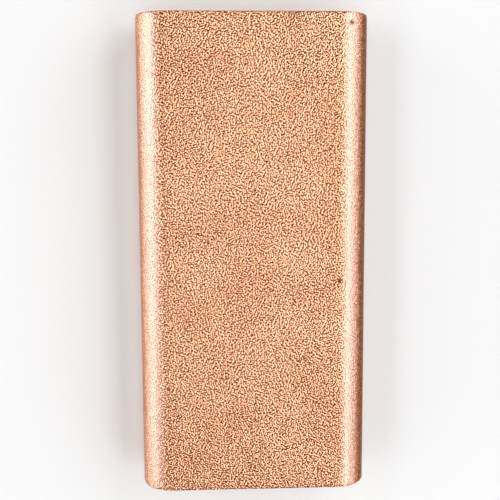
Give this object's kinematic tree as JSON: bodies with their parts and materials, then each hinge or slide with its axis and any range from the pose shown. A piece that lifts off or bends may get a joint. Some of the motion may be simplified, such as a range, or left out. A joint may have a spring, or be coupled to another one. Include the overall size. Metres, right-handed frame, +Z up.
{
  "type": "copper ingot",
  "caption": "Flat rectangular copper ingot with broad rounded long edges, square sawn ends and a matt blasted surface, as stock for melting, casting or storage.",
  "frame": {"origin": "centre of the back face that the ingot lies on", "axes": "+Y along the ingot, from one sawn end to the other; +X across it; +Z up through its thickness"},
  "size_m": [0.057, 0.118, 0.0176],
  "materials": {
    "copper": "satin"
  },
  "bodies": {
    "root": {"ingot": "copper"}
  },
  "joints": []
}
